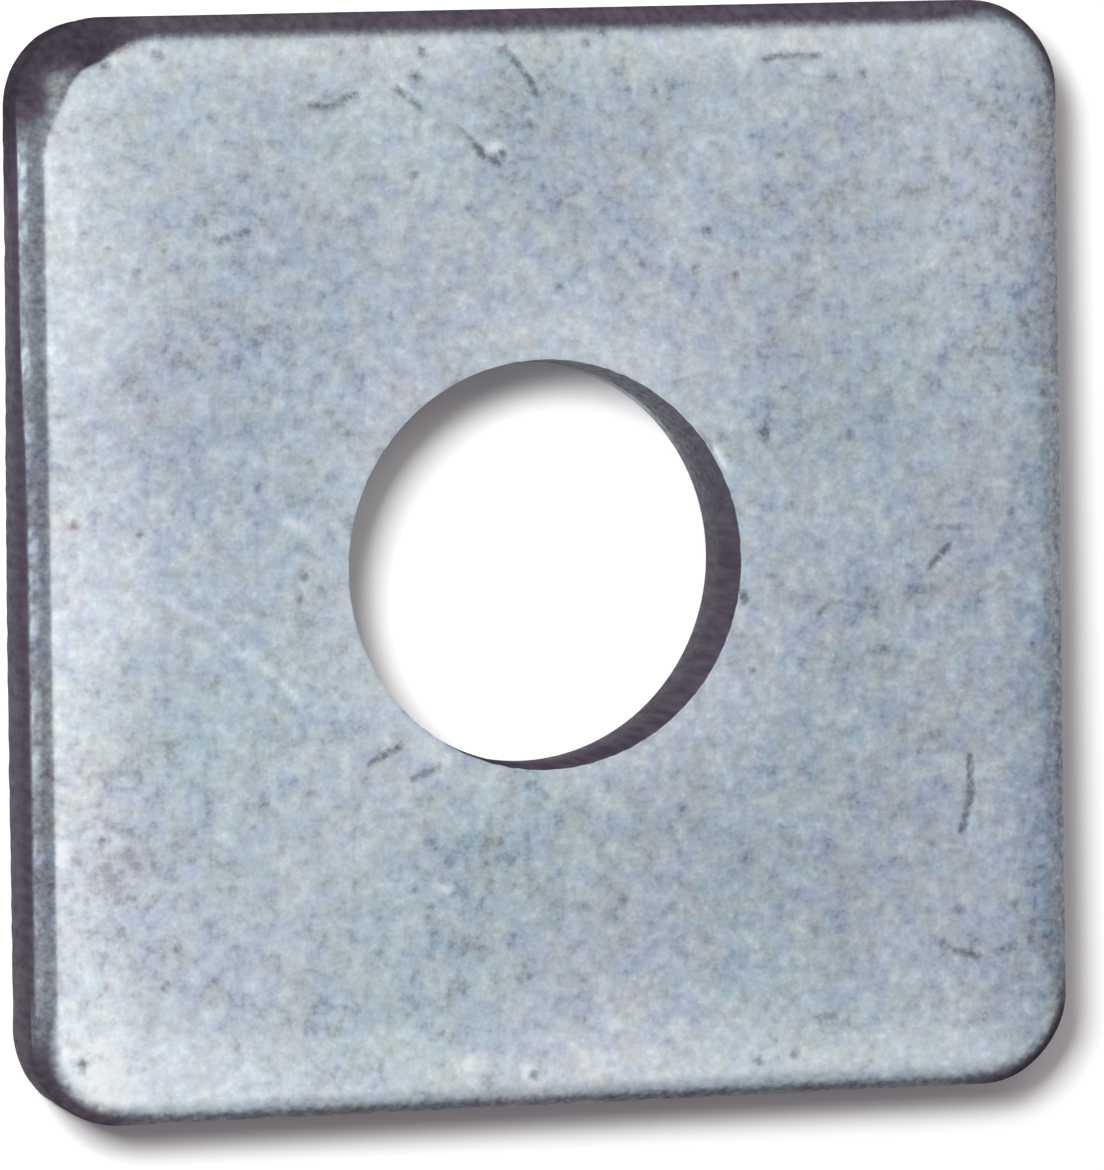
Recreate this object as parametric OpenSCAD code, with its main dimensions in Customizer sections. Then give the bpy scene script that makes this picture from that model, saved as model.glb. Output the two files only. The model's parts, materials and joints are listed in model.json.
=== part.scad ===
// Square plate washer for a 20 mm bolt, blanked and pierced from steel plate.
// The die leaves its marks: the upper edge is rolled over, deepest at the corners, and turns down over
// a round shoulder. Below come a straight burnished band and a broken wall that leans in to the lower face.
// The hole was punched from below, so its lower rim is rounded and its upper end is torn wider.
// The origin is the middle of the lower face, and +Z points out of the rolled upper face.

/* [Plate] */
// Side of the square, measured over the burnished band
side = 60; // [45:0.5:100]
// Thickness of the plate
thickness = 5; // [4:0.25:8]
// Radius of the plate's corners, seen from above
corner_r = 5; // [3:0.25:9]

/* [Rolled upper edge] */
// Radius of the roll that the die pulls over the upper edge
roll_r = 2.4; // [2.2:0.1:3]
// Width of the roll along the straight sides
roll_w = 1.5; // [0.8:0.1:1.7]
// How much wider the roll is at the corners, along the diagonal
roll_corner_extra = 0.6; // [0.3:0.1:0.8]
// Radius of the shoulder over which the roll turns down into the wall
shoulder_r = 1.2; // [0.6:0.1:1.5]

/* [Sheared wall] */
// Height of the smooth burnished band under the shoulder
band_h = 0.8; // [0.4:0.1:1.6]
// How far the broken wall leans in at its foot
wall_lean = 0.22; // [0.05:0.01:0.5]

/* [Hole] */
// Diameter of the hole's straight land
hole_d = 22; // [11:0.5:33]
// Distance of the hole's axis from the plate's middle along X
hole_x = -0.6; // [-1:0.1:1]
// Distance of the hole's axis from the plate's middle along Y
hole_y = -0.3; // [-1:0.1:1]
// Radius of the hole's rounded lower rim
rim_r = 0.3; // [0.1:0.1:0.8]
// Depth of the torn stretch below the upper face
tear_h = 2.3; // [1:0.1:2.7]
// How far the torn stretch opens at the upper face, on each side
tear_lean = 0.22; // [0.05:0.01:0.5]

/* [Hidden] */
$fn = 128;
hole_r = hole_d / 2;
// Top of the broken wall
break_h = thickness - shoulder_r - band_h;
// Radius of the flat upper face's corners: rounder than the roll's width alone gives, so the roll widens there
face_corner_r = corner_r - roll_w + roll_corner_extra / (sqrt(2) - 1);
// How far the hole's cutting shape runs past both faces
overrun = 1;

// Carries a half section, drawn outwards from a corner's axis, round a square with straight runs of 2 * run.
// Each run reaches across to the far corners, so that the four runs and the corners' turns share their middle.
module swept_square(run) {
    for (turn = [0:90:270])
        rotate(turn)
            translate([run, run, 0]) {
                rotate_extrude()
                    children();
                rotate([90, 0, 0])
                    linear_extrude(2 * run) {
                        children();
                        translate([-2 * run, 0])
                            square([2 * run + overrun, thickness]);
                    }
            }
}

// Half section of a plate that reaches out to reach and whose upper edge is a full quarter round of edge_r
module rounded_section(reach, edge_r) {
    square([reach - edge_r, thickness]);
    square([reach, thickness - edge_r]);
    intersection() {
        translate([reach - edge_r, thickness - edge_r])
            circle(edge_r);
        square([reach, thickness]);
    }
}

// Half section of the sheared wall: the shoulder's quarter round above, straight down the band,
// leaning in below the break
module wall_section() {
    intersection() {
        rounded_section(corner_r, shoulder_r);
        polygon([
            [0, 0],
            [corner_r - wall_lean, 0],
            [corner_r, break_h],
            [corner_r, thickness],
            [0, thickness]
        ]);
    }
}

// The blank: the roll's own quarter round reaches past the wall, so the wall's shoulder cuts it off part of
// the way down
module blank() {
    intersection() {
        swept_square(side / 2 - corner_r)
            wall_section();
        swept_square(side / 2 - roll_w - face_corner_r)
            rounded_section(face_corner_r + roll_r, roll_r);
    }
}

// Half section of the pierced hole: rounded lower rim, straight land and torn upper end
module hole_section() {
    translate([0, -overrun])
        square([hole_r, thickness + 2 * overrun]);
    difference() {
        translate([0, -overrun])
            square([hole_r + rim_r, overrun + rim_r]);
        translate([hole_r + rim_r, rim_r])
            circle(rim_r);
    }
    polygon([
        [0, thickness - tear_h],
        [hole_r, thickness - tear_h],
        [hole_r + tear_lean, thickness],
        [hole_r + tear_lean, thickness + overrun],
        [0, thickness + overrun]
    ]);
}

module washer() {
    color([0.72, 0.75, 0.78])
        difference() {
            blank();
            translate([hole_x, hole_y, 0])
                rotate_extrude()
                    hole_section();
        }
}

washer();
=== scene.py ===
import json
import math

import bpy
import numpy as np
from mathutils import Matrix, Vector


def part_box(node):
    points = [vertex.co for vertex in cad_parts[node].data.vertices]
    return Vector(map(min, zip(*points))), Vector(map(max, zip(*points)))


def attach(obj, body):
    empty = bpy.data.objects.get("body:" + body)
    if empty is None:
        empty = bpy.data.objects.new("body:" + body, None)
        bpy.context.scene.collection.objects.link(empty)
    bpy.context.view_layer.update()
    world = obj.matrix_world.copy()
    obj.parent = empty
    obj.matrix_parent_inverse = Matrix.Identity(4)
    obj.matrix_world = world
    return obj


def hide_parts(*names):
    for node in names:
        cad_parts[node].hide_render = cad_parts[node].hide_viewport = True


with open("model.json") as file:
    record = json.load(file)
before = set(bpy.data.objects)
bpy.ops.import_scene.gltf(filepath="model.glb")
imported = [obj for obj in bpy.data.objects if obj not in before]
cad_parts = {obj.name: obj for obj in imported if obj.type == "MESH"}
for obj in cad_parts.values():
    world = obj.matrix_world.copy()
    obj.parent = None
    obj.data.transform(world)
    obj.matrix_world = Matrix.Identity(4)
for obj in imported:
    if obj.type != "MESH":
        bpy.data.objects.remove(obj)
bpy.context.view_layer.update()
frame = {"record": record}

# A millimetre in metres, and a length too small to matter
MM = 0.001
TINY = 1e-9

# The washer's sizes in millimetres, from the frame where it has them
low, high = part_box("washer")
bore = next(m for m in frame["record"]["mounts"] if m["name"] == "bore")
HALF_SIDE = (high[0] - low[0]) / 2 / MM
THICKNESS = (high[2] - low[2]) / MM
HOLE_X, HOLE_Y = (p / MM for p in bore["pos_m"][:2])
HOLE_R = bore["dims"]["r_mm"]
CORNER_R = 5.0
ROLL_R = 2.4
ROLL_W = 1.5
ROLL_CORNER_EXTRA = 0.6
SHOULDER_R = 1.2
BAND_H = 0.8
WALL_LEAN = 0.22
RIM_R = 0.3
TEAR_H = 2.3
TEAR_LEAN = 0.22
FACE_CORNER_R = CORNER_R - ROLL_W + ROLL_CORNER_EXTRA / (math.sqrt(2) - 1)
BREAK_H = THICKNESS - SHOULDER_R - BAND_H

# The skin's grid: steps round the washer, and rings on each stretch of its section
ROUND = 672
RIM_RINGS = 5
LAND_RINGS = 4
TEAR_RINGS = 10
FACE_RINGS = 88
ROLL_RINGS = 7
SHOULDER_RINGS = 12
BAND_RINGS = 4
BROKEN_RINGS = 10
UNDER_RINGS = 4
# How closely the torn stretch's rings gather towards the upper face
TEAR_SPACING = 0.7
# How far in from the wall the rings that follow the edge begin
EDGE_REACH = 2.4
# How many rings either side of the shoulder's middle are eased, and how often
EASE_REACH = 9
EASE_PASSES = 3

# Rough fields: seed, how many waves, fewest and most turns of a wave round the washer, how far they slant
TEAR_WAVES = (11, 40, 5, 90, 2.0)
BREAK_WAVES = (21, 24, 3, 60, 0)
WALL_WAVES = (22, 60, 8, 260, 2.5)
FLECK_WAVES = (31, 30, 40, 320, 0.08)

# The torn hole: how rough it is, how soon that sets in and where it ends, how much wider its rim is along X
TEAR_ROUGHNESS = 0.012
TEAR_FADE = (4, 1.15)
TEAR_OVAL = 0.16

# The broken wall: how rough and how hollow it is, how soon that sets in and where it ends
WALL_ROUGHNESS = 0.02
WALL_HOLLOW = 0.03
WALL_FADE = (6, 1.1)
# How much more the broken wall at -X leans in towards +Y, about which place, and how steeply that grows
WALL_STRAY = 0.12
WALL_STRAY_Y = 8
WALL_STRAY_REACH = 9
# How wavy the break line is, and the least height of the band above it
BREAK_WAVINESS = 0.08
LEAST_BAND = 0.1
# The break line along the side at -X: how far it climbs each way, about which place, and how steeply
BREAK_CLIMB = 0.55
BREAK_CLIMB_Y = 9.0
BREAK_CLIMB_REACH = 6.0

# How far the face sags towards its edge, and from how far in
EDGE_SAG = 0.12
EDGE_SAG_REACH = 3.5
# How deep a scratch or pit and a scuff of full strength are
CUT_DEPTH = 0.06
SCUFF_DEPTH = 0.015

# Dark scratches on the upper face, in millimetres from its middle: width, strength, the points passed
SCRATCHES = [
    (0.22, 0.8, (-2.6, 27.9), (-1.2, 26.2), (-0.8, 25.4)),
    (0.28, 0.6, (-8.8, 25.8), (-7.6, 24.9)),
    (0.25, 0.5, (-5.2, 23.7), (-4.7, 23.1)),
    (0.28, 0.9, (-4.3, 22.6), (-3.9, 22.1), (-3.0, 21.7), (-2.8, 22.2)),
    (0.25, 0.7, (-13.8, 25.0), (-12.5, 25.0), (-11.2, 25.6)),
    (0.25, 0.6, (-19.2, 17.8), (-17.4, 18.3)),
    (0.25, 0.7, (12.5, 27.0), (13.5, 27.2), (14.6, 27.2), (15.6, 27.1)),
    (0.25, 0.8, (23.0, 0.1), (21.8, -1.1)),
    (0.22, 0.5, (22.2, 1.0), (23.8, 1.0)),
    (0.25, 0.6, (15.3, -3.5), (15.9, -2.8)),
    (0.22, 0.5, (15.9, -2.8), (18.5, -3.3)),
    (0.25, 0.9, (24.0, -11.7), (24.1, -13.6), (23.9, -14.5), (23.5, -15.7)),
    (0.25, 0.7, (23.0, -22.4), (24.4, -22.7)),
    (0.25, 0.6, (25.4, -22.6), (26.3, -22.3)),
    (0.25, 0.8, (-9.2, -9.9), (-10.9, -10.8)),
    (0.25, 0.6, (-7.0, -11.2), (-8.5, -11.7)),
    (0.25, 0.4, (-25.2, -17.6), (-23.1, -17.6)),
]

# Dark pits: width, strength, place
PITS = [
    (0.35, 0.90, (-7.3, 27.8)),
    (0.35, 0.80, (-7.7, 26.5)),
    (0.33, 0.80, (-1.2, 23.7)),
    (0.33, 0.70, (-7.9, 21.1)),
    (0.37, 0.80, (3.1, 28.7)),
    (0.33, 0.70, (2.2, 28.1)),
    (0.30, 0.60, (4.5, 25.6)),
    (0.30, 0.60, (6.1, 25.4)),
    (0.35, 0.80, (9.0, 17.6)),
    (0.33, 0.70, (8.3, 15.6)),
    (0.30, 0.60, (6.3, 15.7)),
    (0.33, 0.70, (10.6, 15.2)),
    (0.30, 0.60, (5.2, 16.0)),
    (0.30, 0.60, (0.4, 14.9)),
    (0.33, 0.60, (-9.3, 13.5)),
    (0.37, 0.90, (-22.4, 27.9)),
    (0.37, 0.90, (-25.4, 27.4)),
    (0.35, 0.80, (-28.2, 25.6)),
    (0.30, 0.60, (-23.7, 16.2)),
    (0.30, 0.60, (-25.4, 17.5)),
    (0.30, 0.60, (-22.2, 17.5)),
    (0.33, 0.70, (16.4, 26.0)),
    (0.33, 0.70, (18.2, 26.1)),
    (0.30, 0.60, (24.4, 25.5)),
    (0.30, 0.55, (26.3, 25.2)),
    (0.30, 0.60, (27.4, 24.6)),
    (0.30, 0.65, (27.1, 23.1)),
    (0.30, 0.55, (26.3, 21.8)),
    (0.30, 0.60, (13.3, 21.7)),
    (0.40, 0.80, (29.0, 18.0)),
    (0.35, 0.70, (28.7, 8.3)),
    (0.43, 1.10, (12.2, 6.5)),
    (0.33, 0.70, (17.2, 6.3)),
    (0.30, 0.60, (24.8, -2.5)),
    (0.33, 0.70, (19.0, -5.7)),
    (0.30, 0.60, (11.3, -6.5)),
    (0.33, 0.70, (26.7, 1.7)),
    (0.33, 0.70, (22.4, -22.0)),
    (0.33, 0.70, (23.3, -20.1)),
    (0.33, 0.70, (26.6, -20.0)),
    (0.30, 0.60, (21.7, -16.4)),
    (0.35, 0.80, (11.4, -28.1)),
    (0.35, 0.70, (13.5, -27.7)),
    (0.33, 0.70, (-1.7, -28.2)),
    (0.33, 0.70, (3.6, -18.8)),
    (0.33, 0.80, (-17.0, -12.7)),
    (0.35, 0.80, (-26.1, -14.4)),
    (0.33, 0.70, (-22.1, -20.3)),
    (0.33, 0.60, (-22.8, -22.5)),
    (0.37, 0.80, (-27.5, -26.5)),
    (0.33, 0.70, (-23.8, 2.1)),
    (0.30, 0.60, (-21.8, 3.1)),
    (0.30, 0.60, (-14.8, -1.7)),
    (0.30, 0.60, (-14.5, -0.5)),
    (0.33, 0.70, (-27.5, 2.7)),
    (0.40, 1.00, (10.8, -2.5)),
]

# Light scuffs: width, strength, the points passed
SCUFFS = [
    (0.30, 0.5, (-3.3, 22.5), (-3.1, 22.6)),
    (0.25, 0.5, (-2.1, -28.2), (-2.1, -27.8)),
    (0.25, 0.4, (-5.6, -27.6), (-5.4, -27.2)),
    (0.25, 0.4, (7.5, -21.4), (7.7, -21.3)),
    (0.30, 0.4, (-7.2, -17.6), (-6.6, -17.9)),
    (0.20, 0.2, (-22.7, -1.3), (-21.3, -2.2), (-19.7, -3.0), (-18.3, -4.4), (-15.8, -6.2), (-14.9, -7.2)),
    (0.35, 0.35, (-15.4, 2.6), (-14.5, 2.0)),
    (0.40, 0.8, (9.2, 5.5), (9.5, 4.9)),
    (0.40, 0.5, (-28.4, -15.2), (-28.4, -14.8)),
]

# Broad patches of the plating: its own tone that differs from place to place, and two painted highlights
# at the corner at -X and -Y: reach along X and Y, how much lighter or darker, middle
TONE_PATCHES_AND_HIGHLIGHTS = [
    (7.0, 9.0, -0.06, (-17.5, 2.0)),
    (10.0, 8.0, -0.11, (6.0, -17.0)),
    (12.0, 14.0, -0.13, (19.0, -11.0)),
    (9.0, 7.0, 0.08, (-12.0, -4.0)),
    # Painted highlight at the corner at -X and -Y
    (8.0, 8.0, 0.08, (-21.0, -25.0)),
    (4.0, 4.0, -0.08, (-28.0, 27.0)),
    (5.0, 8.0, 0.06, (-21.0, 24.0)),
    (7.0, 8.0, -0.11, (20.0, 5.0)),
    (7.0, 6.0, 0.05, (-22.0, -16.0)),
    (4.0, 4.0, -0.10, (27.0, -27.0)),
    # Painted highlight at the corner at -X and -Y
    (3.0, 3.0, 0.14, (-26.5, -26.0)),
    (4.0, 5.0, -0.14, (-27.5, 9.5)),
    (7.0, 12.0, 0.15, (26.0, 18.0)),
    (7.0, 0.6, -0.05, (-20.5, 7.7)),
]

# The face's margins along the sides at -X, +X, -Y and +Y, painted highlights at -X, -Y and +Y and
# painted shade at +X: how much lighter or darker, how far they reach in
PAINTED_MARGIN_LIGHT = [(0.34, 4.0), (-0.18, 2.0), (0.26, 2.8), (0.24, 2.0)]
# How far from the side the margins begin, and over what distance
MARGIN_FROM = 0.9
MARGIN_FADE = 0.5
# The light ring round the hole: how much lighter, and how far it reaches
HOLE_RING_TONE = 0.10
HOLE_RING_W = 3.0

# The dull torn edge by the way it faces, sides and then corners, partly painted shade, darker or lighter on
# each side by how light falls there: how dull, how far in it ends, how gradually
DULL_AND_SHADED_EDGES = [
    ((-1, 0), 0.53, 1.1, 0.2),
    ((1, 0), 0.70, 1.15, 2.0),
    ((0, -1), 0.86, 0.65, 0.6),
    ((0, 1), 1.00, 1.15, 0.8),
    ((-1, 1), 1.35, 2.35, 0.4),
    ((1, 1), 1.00, 0.9, 1.3),
    ((-1, -1), 1.00, 0.85, 0.9),
    ((1, -1), 1.00, 0.9, 1.1),
]
# Where along a side its corners begin to count, and where they alone count
CORNER_FROM = 22.5
CORNER_FULL = 26.5
# Painted highlights on the rolled edge round the corner at -X and +Y: reach, how much less dull, place
PAINTED_HIGHLIGHTS = [
    (0.9, 0.85, (-28.0, 26.4)),
    (0.6, 0.65, (-28.2, 25.2)),
    (0.5, 0.35, (-27.1, 27.3)),
    (0.6, 0.30, (-28.9, 24.2)),
]
# Bright flecks along the shoulder at -X: from and to which Y, how bright
FLECKS = [
    (17.9, 23.2, 0.9),
    (10.4, 12.5, 0.8),
    (6.5, 8.5, 0.6),
    (-3.6, 2.8, 0.8),
    (-11.8, -4.8, 0.7),
    (-15.9, -14.2, 1.0),
]
# How much less dull a fleck is, and over what length it fades at its ends
FLECK_AMOUNT = 0.58
FLECK_FADE = 0.5
# The shoulder's slopes in degrees between which the flecks lie, and over how many degrees they fade there
FLECK_SLOPES = (26, 72)
SLOPE_FADE = 10
# How many degrees lower down the shoulder they lie towards +Y, from which Y, and over what distance
FLECK_DROP = 20
FLECK_DROP_Y = 4
FLECK_DROP_REACH = 10
# How much of a fleck is left by the waves that break it up, and how strong they are
FLECK_SHARE = 0.6
FLECK_CONTRAST = 0.5

# The walls' foot: how much less dull it is
FOOT_SHEEN = 0.06
# Painted shade on the wall round the corner at -X and +Y: how much darker, from which Y less X, and over
# what length
PAINTED_CORNER_SHADE = 0.4
PAINTED_CORNER_SHADE_FROM = 50
PAINTED_CORNER_SHADE_REACH = 6
# A painted reflection, a bright arc on the hole's lower rim: middle and spread in degrees, how much less
# dull, rings it covers
RIM_ARC_AT = 58
RIM_ARC_SPREAD = 22
RIM_ARC_AMOUNT = 0.45
RIM_ARC_RINGS = RIM_RINGS + 2
# Painted light on the hole's wall on its shaded half, towards +Y: how much less dull it is there
SHADED_HALF_PAINTED_LIGHT = 0.14

# The plating's shades and tints, and the torn steel's shades: place on the ramp and colour
ZINC_SHADES = [
    (0.35, (0.285, 0.335, 0.405)),
    (0.45, (0.455, 0.548, 0.613)),
    (0.55, (0.565, 0.670, 0.722)),
    (0.67, (0.730, 0.840, 0.870)),
]
TINTS = [(0.36, (0.57, 0.50, 0.30)), (0.64, (0.43, 0.50, 0.70))]
TORN_SHADES = [(0.35, (0.050, 0.041, 0.057)), (0.65, (0.078, 0.065, 0.087))]
# What a unit of lighter tone adds to the plating's colour, for the lighter patches and scuffs and for the
# painted highlights and glints
GLARE = (0.67, 0.67, 0.60)

# Noises of the material: scale per millimetre, detail, roughness
GRAIN = (1.7, 4, 0.62)
MOTTLE = (0.6, 3, 0.6)
BLOOM = (0.11, 2, 0.5)
FINE_TINT = (1.0, 2, 0.5)
TINT = (0.55, 3, 0.5)
BROAD_TINT = (0.07, 2, 0.5)
GLINT = (3.2, 2, 0.6)
RAGGED = (2.6, 3, 0.6)
STREAK = (1.0, 3, 0.5)
FINE_BUMP = (7.0, 3, 0.6)
# How finely the torn steel's streaks repeat along each axis
STREAK_SHAPE = (2.2, 2.2, 0.35)
# The shares of the plating's three grains, and the strengths of its three tints
GRAIN_SHARE = 0.48
MOTTLE_SHARE = 0.28
BLOOM_SHARE = 0.24
FINE_TINT_STRENGTH = 0.17
TINT_STRENGTH = 0.42
BROAD_TINT_STRENGTH = 0.16

# Ranges of a value and what they become: from and to before, from and to after
GLINT_RANGE = (0.62, 0.74, 0.0, 0.16)
BREAK_UP_RANGE = (0.36, 0.60, 0.45, 1.0)
CUT_RANGE = (0.10, 0.65, 0.0, 0.66)
SPECK_RANGE = (0.67, 0.76, 0.0, 0.22)
PATCHY_RANGE = (0.3, 0.7, -0.8, 0.8)
# Painted shade: dullness past one darkens the colour
PAINTED_SHADE_RANGE = (1.0, 1.4, 1.0, 0.5)
MATT_RANGE = (0.35, 0.65, 0.46, 0.32)
# How much rougher the worn steel is, and the weight of its matt light against the plating's mirroring
WORN_ROUGHER = 0.22
WORN_WEIGHT = 0.09
# The bump: share of the fine noise, depth of the cuts, strength, and height in millimetres
FINE_SHARE = 0.35
CUT_SHARE = -0.8
BUMP_STRENGTH = 0.35
BUMP_HEIGHT = 0.03

# The floor: half its side in metres, how far it lies below the washer in millimetres, its colour
FLOOR_HALF = 2.0
FLOOR_GAP = 0.01
FLOOR_COLOUR = (0.92, 0.92, 0.92)

# Soft lights: name, place and size in metres, power in watts, and whether metal mirrors them
LIGHTS = [
    ("softbox", (0.055, -0.06, 0.42), (0.42, 0.34), 0.15, True),
    ("strip", (-0.04, -0.12, 0.40), (0.12, 0.40), 0.09, True),
    ("key", (-0.315, 0.21, 0.48), (0.22, 0.18), 4.5, False),
    ("top_fill", (0.01, 0.26, 0.48), (0.26, 0.19), 0.3, False),
]
# The room: its fill light, and what the metal mirrors of it from low down to overhead
ROOM_FILL = (0.285, 0.265, 0.280)
ROOM_MIRRORED = [(0.25, (0.90, 0.85, 0.88)), (0.95, (0.475, 0.445, 0.47))]

# The camera, as the photograph was taken: a long lens above the washer's left side
PHOTO_LONG_SIDE_PX = 1170
FOCAL_PX = 13289
SENSOR_MM = 36
CAMERA_DISTANCE = 0.7294
TARGET = (0.00127, -0.00169, 0.00056)
TIP, LEAN, SPIN = (math.radians(a) for a in (3.4675, 19.4526, 0.7933))

turn = np.arange(ROUND) * 2 * np.pi / ROUND
shoulder_bend = np.linspace(0, np.pi / 2, SHOULDER_RINGS + 1)[1:]


def waves(a, b, seed, count, low_step, high_step, slant):
    """Smooth rough field of about unit height: a sum of cosines of whole turns of a and random steps of b,
    with random phases, so that it closes on itself round the washer."""
    draw = np.random.default_rng(seed)
    steps = draw.integers(low_step, high_step, count)
    climbs = draw.normal(0, slant, count)
    phases = draw.uniform(0, 2 * np.pi, count)
    field = sum(np.cos(s * a + c * b + p) for s, c, p in zip(steps, climbs, phases))
    return field / math.sqrt(count / 2)


def smooth_step(t):
    """Rises from 0 to 1 as t does, level at both ends."""
    t = np.clip(t, 0, 1)
    return t * t * (3 - 2 * t)


def between_ends(share, steepness, end):
    """One between the ends of a stretch and less at them: a parabola of the share passed, cut off at one."""
    return np.minimum(steepness * share * (end - share), 1)


def rounded_square(angle, half, radius):
    """Where a ray from the middle meets a square with rounded corners, and the outward normal there: the ray
    is cut by the flat side, or past the side's end by the corner's circle."""
    ray = np.stack([np.cos(angle), np.sin(angle)], -1)
    away = np.abs(ray)
    core = half - radius
    flat = away * (half / away.max(-1, keepdims=True))
    b = core * away.sum(-1, keepdims=True)
    arc = away * (b + np.sqrt(np.maximum(b**2 - 2 * core**2 + radius**2, 0)))
    on_flat = flat.min(-1, keepdims=True) <= core
    side_normal = (away == away.max(-1, keepdims=True)).astype(float)
    normal = np.where(on_flat, side_normal, (arc - core) / radius)
    return np.where(on_flat, flat, arc) * np.sign(ray), normal * np.sign(ray)


def wall_outline():
    """The sheared wall's points and normals in the plan, one for each step round the washer."""
    return rounded_square(turn, HALF_SIDE, CORNER_R)


def facing_left(normal):
    """How squarely the wall faces -X: the fourth power of its normal's share that way."""
    return np.maximum(-normal[:, 0], 0) ** 4


def past_outline(x, y, half, radius):
    """Signed distance from a square outline with rounded corners, negative inside it."""
    across = np.abs(x) - half + radius
    along = np.abs(y) - half + radius
    outside = np.hypot(np.maximum(across, 0), np.maximum(along, 0))
    return outside + np.minimum(np.maximum(across, along), 0) - radius


def rolled_height(x, y):
    """Height of the upper side: level inside the flat face's rounded outline, and beyond it dropping along
    an arc of the roll's radius with the distance from that outline."""
    outside = np.clip(past_outline(x, y, HALF_SIDE - ROLL_W, FACE_CORNER_R), 0, ROLL_R)
    return THICKNESS - ROLL_R + np.sqrt(ROLL_R**2 - outside**2)


def edge_sag(x, y):
    """How far the upper side sags: a bell of the distance from the wall's outline."""
    return EDGE_SAG * np.exp(-((past_outline(x, y, HALF_SIDE, CORNER_R) / EDGE_SAG_REACH) ** 2))


def stroke_distance(x, y, points):
    """Distance in the plan from every grid point to a stroke: the least of those to its straight pieces, or
    to its one point."""
    nearest = np.full(x.shape, np.inf)
    for (ax, ay), (bx, by) in zip(points, points[1:] or points):
        dx, dy = bx - ax, by - ay
        along = np.clip(((x - ax) * dx + (y - ay) * dy) / max(dx * dx + dy * dy, TINY), 0, 1)
        nearest = np.minimum(nearest, np.hypot(x - ax - along * dx, y - ay - along * dy))
    return nearest


def worn_face_and_painted_light(x, y):
    """How deep, how scarred and how much lighter or darker each point of the upper side is, with painted
    highlights and shade: every mark adds a bell of the distance to its stroke, and the patches, the painted
    margins and the hole's ring add broad bells."""
    depth, scar, tone_and_painted_light = np.zeros((3, *x.shape))
    for width, strength, *points in SCRATCHES + PITS:
        bell = strength * np.exp(-((stroke_distance(x, y, points) / width) ** 2))
        depth += CUT_DEPTH * bell
        scar = np.maximum(scar, bell)
    for width, strength, *points in SCUFFS:
        bell = strength * np.exp(-((stroke_distance(x, y, points) / width) ** 2))
        depth += SCUFF_DEPTH * bell
        tone_and_painted_light += bell
    for reach_x, reach_y, amount, (px, py) in TONE_PATCHES_AND_HIGHLIGHTS:
        tone_and_painted_light += amount * np.exp(-(((x - px) / reach_x) ** 2) - ((y - py) / reach_y) ** 2)
    # The margins: painted highlights at -X, -Y and +Y, painted shade at +X
    from_sides = (HALF_SIDE + x, HALF_SIDE - x, HALF_SIDE + y, HALF_SIDE - y)
    for from_side, (amount, reach) in zip(from_sides, PAINTED_MARGIN_LIGHT):
        inner = np.maximum(from_side - ROLL_W, 0)
        begun = smooth_step((from_side - MARGIN_FROM) / MARGIN_FADE)
        tone_and_painted_light += amount * np.exp(-((inner / reach) ** 2)) * begun
    from_hole = np.hypot(x - HOLE_X, y - HOLE_Y) - HOLE_R
    tone_and_painted_light += HOLE_RING_TONE * np.exp(-((from_hole / HOLE_RING_W) ** 2))
    return depth, scar, tone_and_painted_light


def hole_wall():
    """Rings up the hole: a quarter round at the lower rim, the straight land, and the torn stretch that
    widens to the upper face with a rough radius, most along X."""
    bend = np.linspace(0, np.pi / 2, RIM_RINGS, endpoint=False)
    climb = np.linspace(0, 1, TEAR_RINGS) ** TEAR_SPACING
    radius = np.concatenate([
        HOLE_R + RIM_R * (1 - np.sin(bend)),
        np.full(LAND_RINGS, HOLE_R),
        HOLE_R + TEAR_LEAN * climb,
    ])
    height = np.concatenate([
        RIM_R * (1 - np.cos(bend)),
        np.linspace(RIM_R, THICKNESS - TEAR_H, LAND_RINGS, endpoint=False),
        THICKNESS - TEAR_H * (1 - climb),
    ])
    torn = np.clip((height - (THICKNESS - TEAR_H)) / TEAR_H, 0, 1)
    rough = TEAR_ROUGHNESS * waves(turn, height[:, None], *TEAR_WAVES)
    r = radius[:, None] + rough * between_ends(torn, *TEAR_FADE)[:, None]
    r += TEAR_OVAL * torn[:, None] * np.cos(turn) ** 2
    z = np.broadcast_to(height[:, None], r.shape)
    return np.stack([HOLE_X + r * np.cos(turn), HOLE_Y + r * np.sin(turn), z], -1)


def upper_side(rim):
    """Rings over the upper face, straight lines from the hole's rim to the edge's first ring, then along the
    wall's normals over the roll and round the shoulder, whichever of the two lies lower."""
    wall, normal = wall_outline()
    first = wall - EDGE_REACH * normal
    share = np.linspace(0, 1, FACE_RINGS + 1, endpoint=False)[1:, None, None]
    face = rim[:, :2] * (1 - share) + first * share
    inset = np.concatenate([
        np.linspace(EDGE_REACH, SHOULDER_R, ROLL_RINGS),
        SHOULDER_R * (1 - np.sin(shoulder_bend)),
    ])
    crest = THICKNESS - SHOULDER_R + np.sqrt(SHOULDER_R**2 - np.maximum(SHOULDER_R - inset, 0) ** 2)
    edge = wall - inset[:, None, None] * normal
    plan = np.concatenate([face, edge])
    height = rolled_height(plan[..., 0], plan[..., 1])
    height[FACE_RINGS:] = np.minimum(height[FACE_RINGS:], crest[:, None])
    height -= edge_sag(plan[..., 0], plan[..., 1])
    return np.concatenate([plan, height[..., None]], -1)


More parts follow.
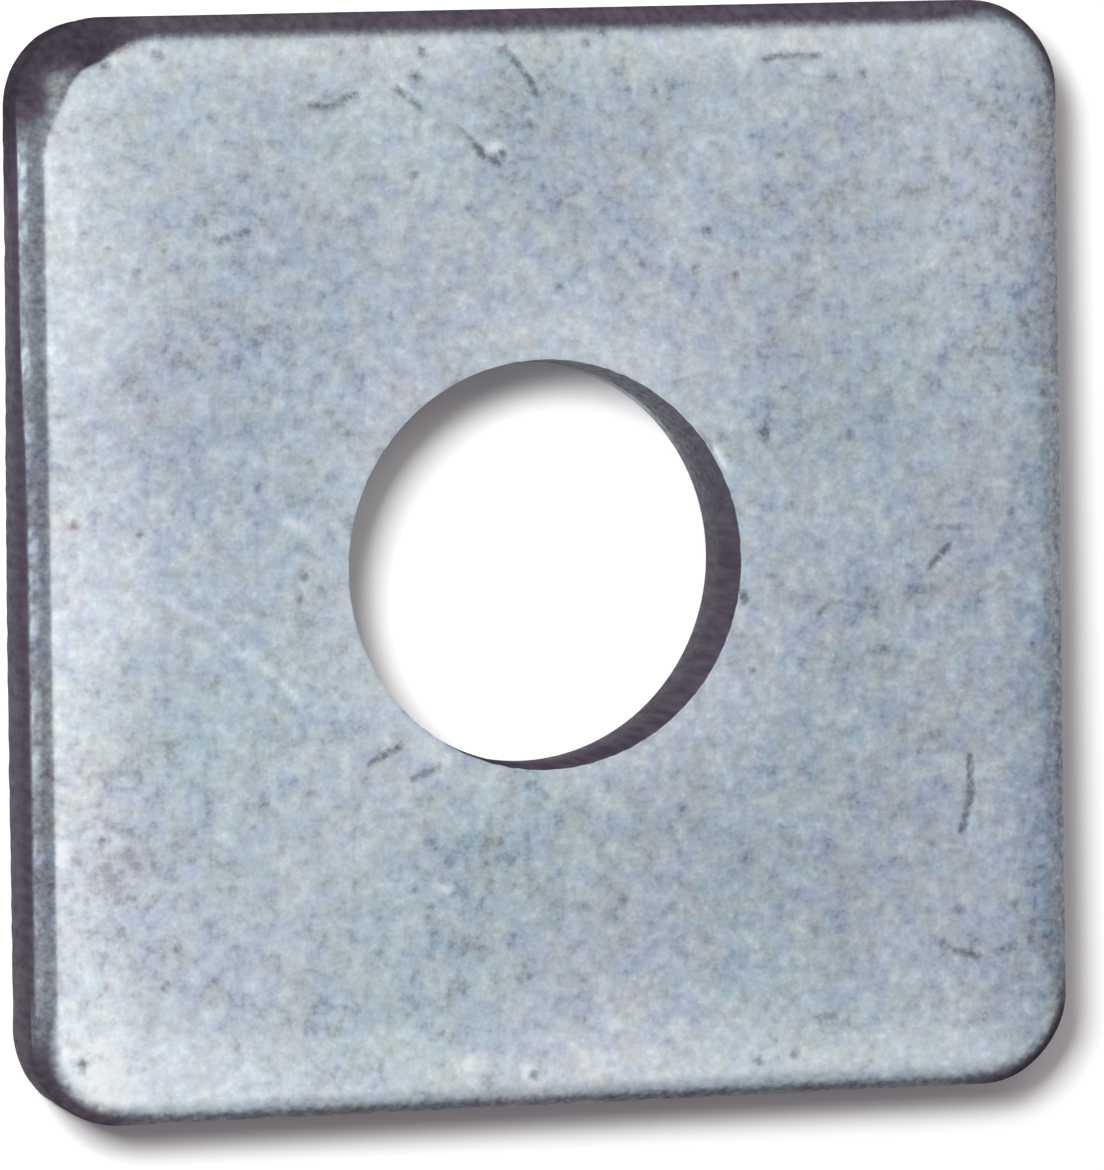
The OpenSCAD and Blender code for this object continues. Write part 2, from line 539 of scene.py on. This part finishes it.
def sheared_wall(top):
    """Rings down the wall: the burnished band hangs straight from the shoulder to a wavy break line, which
    climbs along the side at -X, and from there the broken wall leans in to the foot with a rough face."""
    wall, normal = wall_outline()
    climb = BREAK_CLIMB * -np.tanh((wall[:, 1] - BREAK_CLIMB_Y) / BREAK_CLIMB_REACH)
    break_line = BREAK_H + BREAK_WAVINESS * waves(turn, 0, *BREAK_WAVES) + climb * facing_left(normal)
    break_line = np.minimum(break_line, top[:, 2] - LEAST_BAND)
    down = np.linspace(0, 1, BAND_RINGS + 1)[1:, None]
    band_z = top[:, 2] + down * (break_line - top[:, 2])
    fall = np.linspace(0, 1, BROKEN_RINGS + 1)[1:, None]
    broken_z = break_line * (1 - fall)
    rough = WALL_ROUGHNESS * waves(turn, broken_z, *WALL_WAVES)
    strayed = WALL_STRAY * np.tanh((wall[:, 1] - WALL_STRAY_Y) / WALL_STRAY_REACH) * facing_left(normal)
    lean = (WALL_LEAN + strayed) * fall + (rough + WALL_HOLLOW) * between_ends(fall, *WALL_FADE)
    inset = np.concatenate([np.zeros(band_z.shape), np.maximum(lean, 0)])
    plan = wall - inset[..., None] * normal
    return np.concatenate([plan, np.concatenate([band_z, broken_z])[..., None]], -1)


def lower_face(foot, rim):
    """Rings across the lower face, straight lines from the wall's foot to the hole's lower rim."""
    share = np.linspace(0, 1, UNDER_RINGS + 1, endpoint=False)[1:, None, None]
    return foot * (1 - share) + rim * share


def eased(rings, at, reach, passes):
    """The rings with a sharp turn made round: near ring number at, each is averaged with its neighbours."""
    rings = rings.copy()
    first, last = at - reach, at + reach + 1
    for _ in range(passes):
        before = rings[first - 1:last - 1]
        after = rings[first + 1:last + 1]
        rings[first:last] = (before + 2 * rings[first:last] + after) / 4
    return rings


def own_edge_values(wall, at_corner):
    """Each step's own dullness with painted shade, reach and softness: its side's values, passing into the
    corner's near it.
    """
    own = np.zeros((3, ROUND))
    away = np.abs(wall)
    for way, *values in DULL_AND_SHADED_EDGES:
        if all(way):
            weight = at_corner * (np.sign(wall) == way).all(-1)
        else:
            weight = (1 - at_corner) * (wall @ way >= away.max(-1) - TINY)
        own += weight * np.array(values)[:, None]
    return own


def fleck_brightness(y, slope):
    """How bright the flecks are along the shoulder: each one between its ends, broken up by waves."""
    runs = np.zeros(ROUND)
    for begin, end, brightness in FLECKS:
        here = smooth_step((y - begin) / FLECK_FADE) * smooth_step((end - y) / FLECK_FADE)
        runs = np.maximum(runs, brightness * here)
    return runs * smooth_step(FLECK_SHARE + FLECK_CONTRAST * waves(turn, slope, *FLECK_WAVES))


def edge_dullness_and_painted_light(x, y):
    """The upper side's dullness, with painted shade set by how light falls on each side and corner: each
    one's own amount up to its own distance from the wall's outline, less in painted highlights and in flecks
    along the shoulder at -X, and fully below those flecks."""
    wall, normal = wall_outline()
    at_corner = smooth_step((np.abs(wall).min(-1) - CORNER_FROM) / (CORNER_FULL - CORNER_FROM))
    amount, reach, softness = own_edge_values(wall, at_corner)
    inward = -past_outline(x, y, HALF_SIDE, CORNER_R)
    # Each side's and corner's dullness, partly painted shade by how light falls there
    dull_and_painted_light = amount * smooth_step((reach - inward) / softness + 0.5)
    # Painted highlights on the rolled edge
    for spot_reach, less, (px, py) in PAINTED_HIGHLIGHTS:
        dull_and_painted_light -= less * np.exp(-((np.hypot(x - px, y - py) / spot_reach) ** 2))
    slope = np.degrees(shoulder_bend)[:, None]
    drop = FLECK_DROP * smooth_step((wall[:, 1] - FLECK_DROP_Y) / FLECK_DROP_REACH)
    first, last = (edge + drop for edge in FLECK_SLOPES)
    carried = smooth_step((slope - first) / SLOPE_FADE) * smooth_step((last - slope) / SLOPE_FADE)
    at_left = facing_left(normal) * (1 - at_corner)
    shoulder = dull_and_painted_light[-SHOULDER_RINGS:]
    shoulder -= FLECK_AMOUNT * carried * fleck_brightness(wall[:, 1], slope) * at_left
    shoulder += (1 - shoulder) * smooth_step((slope - last + SLOPE_FADE) / SLOPE_FADE) * at_left
    return np.maximum(dull_and_painted_light, 0)


def foot_sheen(height):
    """How much less dull a wall is towards its foot, in step with the height below the break."""
    return FOOT_SHEEN * np.clip(1 - height / BREAK_H, 0, 1)


def hole_dullness_and_painted_light(height):
    """The hole wall's dullness: full, less towards its foot, less with painted light on its shaded half, and
    less on the lower rim for a painted reflection, along a bell of the angle from the bright arc's middle."""
    dull_and_painted_light = 1 - foot_sheen(height)
    # Painted reflection: a bright arc on the lower rim
    bright_arc = np.exp(-(((turn - np.radians(RIM_ARC_AT)) / np.radians(RIM_ARC_SPREAD)) ** 2))
    dull_and_painted_light[:RIM_ARC_RINGS] -= RIM_ARC_AMOUNT * bright_arc
    # Painted light on the shaded half
    return dull_and_painted_light - SHADED_HALF_PAINTED_LIGHT * np.maximum(np.sin(turn), 0)


def wall_dullness_and_painted_shade(height):
    """The sheared wall's dullness: full, less towards its foot, and darker with painted shade
    round the corner at -X and +Y.
    """
    wall, _ = wall_outline()
    # Painted shade round the corner at -X and +Y
    outer = smooth_step((wall[:, 1] - wall[:, 0] - PAINTED_CORNER_SHADE_FROM) / PAINTED_CORNER_SHADE_REACH)
    return 1 + PAINTED_CORNER_SHADE * outer - foot_sheen(height)


def washer_skin():
    """The washer's section carried once round: up the hole, over the upper side, down the wall and back
    below. Gives the rings, the number of the hole's upper rim, and the points' dullness, scars and
    lightness, the dullness and the lightness with painted shade and highlights in them."""
    hole = hole_wall()
    upper = upper_side(hole[-1])
    wall = sheared_wall(upper[-1])
    under = lower_face(wall[-1], hole[0])
    rim_ring = len(hole) - 1
    on_upper = slice(len(hole), len(hole) + len(upper))
    on_wall = slice(on_upper.stop, on_upper.stop + len(wall))
    shoulder_ring = on_upper.stop - 1 - SHOULDER_RINGS // 2
    rings = eased(np.concatenate([hole, upper, wall, under]), shoulder_ring, EASE_REACH, EASE_PASSES)
    depth, scar, tone_and_painted_light = worn_face_and_painted_light(upper[..., 0], upper[..., 1])
    rings[on_upper, :, 2] -= depth
    values = {key: np.zeros(rings.shape[:2]) for key in ("dull_and_painted_light", "scar", "tone_and_painted_light")}
    values["dull_and_painted_light"][:rim_ring] = hole_dullness_and_painted_light(hole[:-1, :, 2])
    values["dull_and_painted_light"][on_upper] = edge_dullness_and_painted_light(upper[..., 0], upper[..., 1])
    values["dull_and_painted_light"][on_wall] = wall_dullness_and_painted_shade(wall[..., 2])
    values["scar"][on_upper] = scar
    values["tone_and_painted_light"][on_upper] = tone_and_painted_light
    return rings, rim_ring, values


def grid_mesh(name, rings, sharp_ring, values):
    """A mesh of four-sided faces on a grid that closes on itself both ways, from rings of points in
    millimetres, with one ring kept sharp and named values kept on its points."""
    count, steps = rings.shape[:2]
    number = np.arange(count * steps).reshape(count, steps)
    onward = np.roll(number, -1, 1)
    corners = np.stack([number, onward, np.roll(onward, -1, 0), np.roll(number, -1, 0)], -1).reshape(-1, 4)
    mesh = bpy.data.meshes.new(name)
    mesh.vertices.add(count * steps)
    mesh.vertices.foreach_set("co", (rings * MM).ravel())
    mesh.loops.add(corners.size)
    mesh.loops.foreach_set("vertex_index", corners.ravel())
    mesh.polygons.add(len(corners))
    mesh.polygons.foreach_set("loop_start", np.arange(0, corners.size, 4))
    mesh.polygons.foreach_set("use_smooth", np.ones(len(corners), bool))
    mesh.update(calc_edges=True)
    ends = np.empty(len(mesh.edges) * 2, int)
    mesh.edges.foreach_get("vertices", ends)
    mesh.edges.foreach_set("use_edge_sharp", (ends.reshape(-1, 2) // steps == sharp_ring).all(1))
    for key, value in values.items():
        attribute = mesh.attributes.new(key, "FLOAT", "POINT")
        attribute.data.foreach_set("value", value.astype(np.float32).ravel())
    return mesh


def add_node(tree, kind, sockets=None, **settings):
    """A shader node with its settings, and its sockets set to a value or joined to another node's output."""
    node = tree.nodes.new(kind)
    for key, value in settings.items():
        setattr(node, key, value)
    for key, value in (sockets or {}).items():
        if isinstance(value, bpy.types.NodeSocket):
            tree.links.new(value, node.inputs[key])
        else:
            node.inputs[key].default_value = value
    return node


def noise(tree, place, pattern, output="Fac"):
    """A noise of the given scale, detail and roughness."""
    sockets = dict(zip(("Scale", "Detail", "Roughness"), pattern))
    return add_node(tree, "ShaderNodeTexNoise", {"Vector": place, **sockets}).outputs[output]


def arithmetic(tree, operation, *terms):
    """A sum, product or the like of numbers."""
    return add_node(tree, "ShaderNodeMath", dict(enumerate(terms)), operation=operation).outputs[0]


def scaled(tree, vector, factor):
    """A vector or colour times a number."""
    sockets = {0: vector, "Scale": factor}
    return add_node(tree, "ShaderNodeVectorMath", sockets, operation="SCALE").outputs[0]


def mixed(tree, factor, first, second, blend="MIX"):
    """Two colours blended by a factor, by the numbers of the node's colour sockets."""
    sockets = {0: factor, 6: first, 7: second}
    return add_node(tree, "ShaderNodeMix", sockets, data_type="RGBA", blend_type=blend).outputs[2]


def stretched(tree, value, span):
    """A value carried from one range to another, and kept within it."""
    sockets = dict(zip(("From Min", "From Max", "To Min", "To Max"), span))
    return add_node(tree, "ShaderNodeMapRange", {"Value": value, **sockets}).outputs[0]


def ramp(tree, value, stops):
    """A colour ramp through stops of place and colour."""
    node = add_node(tree, "ShaderNodeValToRGB", {0: value})
    for element, (place, colour) in zip(node.color_ramp.elements, (stops[0], stops[-1])):
        element.position = place
        element.color = (*colour, 1)
    for place, colour in stops[1:-1]:
        node.color_ramp.elements.new(place).color = (*colour, 1)
    return node.outputs[0]


def point_value(tree, name):
    """A value that is kept on the mesh's points."""
    return add_node(tree, "ShaderNodeAttribute", attribute_name=name).outputs["Fac"]


def plating(tree, place, blend):
    """The plating's colour: a ramp of its blended grains, tinted at three scales, with the lighter and
    darker patches, the painted highlights and shade of the margins, and fine painted glints added."""
    zinc = ramp(tree, blend, ZINC_SHADES)
    fine_tint = noise(tree, place, FINE_TINT, "Color")
    zinc = mixed(tree, FINE_TINT_STRENGTH, zinc, fine_tint, "SOFT_LIGHT")
    tint = ramp(tree, noise(tree, place, TINT), TINTS)
    zinc = mixed(tree, TINT_STRENGTH, zinc, tint, "SOFT_LIGHT")
    broad_tint = noise(tree, place, BROAD_TINT, "Color")
    zinc = mixed(tree, BROAD_TINT_STRENGTH, zinc, broad_tint, "SOFT_LIGHT")
    # Fine painted glints
    glint = stretched(tree, noise(tree, place, GLINT), GLINT_RANGE)
    # Painted highlights and shade, patches and scuffs, and the glints shift the colour
    glare = scaled(tree, GLARE, arithmetic(tree, "ADD", point_value(tree, "tone_and_painted_light"), glint))
    return add_node(tree, "ShaderNodeVectorMath", {0: zinc, 1: glare}, operation="ADD").outputs[0]


def wear_and_painted_light(tree, place, dull_and_painted_light):
    """How deep the cuts are, and how much of the plating is gone, painted shade and highlights included: the
    most of the ragged cuts, of small dark specks and of the edge's dullness and painted shade, which is
    patchy where that is middling."""
    ragged = noise(tree, place, RAGGED)
    broken = stretched(tree, ragged, BREAK_UP_RANGE)
    cut = stretched(tree, arithmetic(tree, "MULTIPLY", point_value(tree, "scar"), broken), CUT_RANGE)
    speck = stretched(tree, ragged, SPECK_RANGE)
    half_worn = arithmetic(tree, "MULTIPLY", dull_and_painted_light, arithmetic(tree, "SUBTRACT", 1.0, dull_and_painted_light))
    patchy = arithmetic(tree, "MULTIPLY", half_worn, stretched(tree, ragged, PATCHY_RANGE))
    edge = arithmetic(tree, "ADD", dull_and_painted_light, patchy)
    worn_and_painted_light = arithmetic(tree, "MAXIMUM", arithmetic(tree, "MAXIMUM", cut, speck), edge)
    return cut, worn_and_painted_light


def zinc_material():
    """Bright zinc plating over steel: a bluish metal mottled at three scales that passes into matt purplish
    grey where it is scraped or torn, and where shade is painted on its edges. Its mirroring fades there in
    step with the colour."""
    material = bpy.data.materials.new("zinc_plate")
    material.use_nodes = True
    tree = material.node_tree
    shader = tree.nodes["Principled BSDF"]
    coordinates = add_node(tree, "ShaderNodeTexCoord").outputs["Object"]
    place = add_node(tree, "ShaderNodeMapping", {"Vector": coordinates, "Scale": (1 / MM,) * 3}).outputs[0]

    grain = noise(tree, place, GRAIN)
    blend = arithmetic(tree, "MULTIPLY", grain, GRAIN_SHARE)
    blend = arithmetic(tree, "MULTIPLY_ADD", noise(tree, place, MOTTLE), MOTTLE_SHARE, blend)
    blend = arithmetic(tree, "MULTIPLY_ADD", noise(tree, place, BLOOM), BLOOM_SHARE, blend)
    # Dullness with painted shade and highlights, kept on the points
    dull_and_painted_light = point_value(tree, "dull_and_painted_light")
    cut, worn_and_painted_light = wear_and_painted_light(tree, place, dull_and_painted_light)

    upright = add_node(tree, "ShaderNodeMapping", {"Vector": place, "Scale": STREAK_SHAPE}).outputs[0]
    torn = ramp(tree, noise(tree, upright, STREAK), TORN_SHADES)
    colour = mixed(tree, worn_and_painted_light, plating(tree, place, blend), torn)
    # Painted shade: dullness past one darkens the colour further
    colour = scaled(tree, colour, stretched(tree, dull_and_painted_light, PAINTED_SHADE_RANGE))
    tree.links.new(colour, shader.inputs["Base Color"])

    plated = arithmetic(tree, "SUBTRACT", 1.0, arithmetic(tree, "MINIMUM", worn_and_painted_light, 1.0))
    metal = arithmetic(tree, "DIVIDE", plated, arithmetic(tree, "MULTIPLY_ADD", worn_and_painted_light, WORN_WEIGHT, plated))
    tree.links.new(metal, shader.inputs["Metallic"])
    shader.inputs["Specular IOR Level"].default_value = 0.0
    roughness = arithmetic(tree, "MULTIPLY_ADD", worn_and_painted_light, WORN_ROUGHER, stretched(tree, blend, MATT_RANGE))
    tree.links.new(roughness, shader.inputs["Roughness"])

    height = arithmetic(tree, "MULTIPLY_ADD", noise(tree, place, FINE_BUMP), FINE_SHARE, grain)
    height = arithmetic(tree, "MULTIPLY_ADD", cut, CUT_SHARE, height)
    bump = add_node(tree, "ShaderNodeBump", {
        "Height": height, "Strength": BUMP_STRENGTH, "Distance": BUMP_HEIGHT * MM,
    })
    tree.links.new(bump.outputs[0], shader.inputs["Normal"])
    return material


def floor_material():
    """Plain white matt floor."""
    material = bpy.data.materials.new("pale_floor")
    material.use_nodes = True
    shader = material.node_tree.nodes["Principled BSDF"]
    shader.inputs["Base Color"].default_value = (*FLOOR_COLOUR, 1)
    shader.inputs["Roughness"].default_value = 1.0
    shader.inputs["Specular IOR Level"].default_value = 0.0
    return material


def floor_square():
    """A level square just below the washer's lower face."""
    z = low[2] - FLOOR_GAP * MM
    corners = [(x * FLOOR_HALF, y * FLOOR_HALF, z) for x, y in ((-1, -1), (1, -1), (1, 1), (-1, 1))]
    mesh = bpy.data.meshes.new("floor")
    mesh.from_pydata(corners, [], [(0, 1, 2, 3)])
    return mesh


def area_light(name, place, size, power, mirrored):
    """A flat soft light that faces the washer: either the metal mirrors it, or it lights what is matt."""
    data = bpy.data.lights.new(name, "AREA")
    data.shape = "RECTANGLE"
    data.size, data.size_y = size
    data.energy = power
    light = bpy.data.objects.new(name, data)
    light.location = place
    light.rotation_euler = light.location.to_track_quat("Z", "Y").to_euler()
    light.visible_camera = False
    light.visible_glossy = mirrored
    light.visible_diffuse = not mirrored
    bpy.context.collection.objects.link(light)


def studio_world():
    """A pale room: dim as fill light, brighter as what the metal mirrors, most of all low on its walls."""
    world = bpy.data.worlds.new("studio")
    world.use_nodes = True
    tree = world.node_tree
    mirrored = add_node(tree, "ShaderNodeLightPath").outputs["Is Glossy Ray"]
    direction = add_node(tree, "ShaderNodeTexCoord").outputs["Generated"]
    climb = add_node(tree, "ShaderNodeSeparateXYZ", {0: direction}).outputs["Z"]
    colour = mixed(tree, mirrored, (*ROOM_FILL, 1), ramp(tree, climb, ROOM_MIRRORED))
    tree.links.new(colour, tree.nodes["Background"].inputs["Color"])
    return world


def photo_camera():
    """A camera that looks at the target from its distance, turned as the photograph shows the washer."""
    lens = bpy.data.cameras.new("camera")
    lens.sensor_width = SENSOR_MM
    lens.lens = FOCAL_PX * SENSOR_MM / PHOTO_LONG_SIDE_PX
    camera = bpy.data.objects.new("camera", lens)
    turned = Matrix.Rotation(SPIN, 4, "Z") @ Matrix.Rotation(TIP, 4, "X") @ Matrix.Rotation(LEAN, 4, "Y")
    back = Matrix.Translation((0, 0, CAMERA_DISTANCE))
    camera.matrix_world = Matrix.Translation(TARGET) @ turned.inverted() @ back
    bpy.context.collection.objects.link(camera)
    return camera


# The washer
skin = bpy.data.objects.new("washer_skin", grid_mesh("washer_skin", *washer_skin()))
bpy.context.collection.objects.link(skin)
skin.data.materials.append(zinc_material())
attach(skin, "root")
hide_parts("washer")

# The floor
floor = bpy.data.objects.new("floor", floor_square())
bpy.context.collection.objects.link(floor)
floor.data.materials.append(floor_material())

# The studio
for light in LIGHTS:
    area_light(*light)
bpy.context.scene.world = studio_world()
bpy.context.scene.camera = photo_camera()
bpy.context.scene.view_settings.view_transform = "Standard"
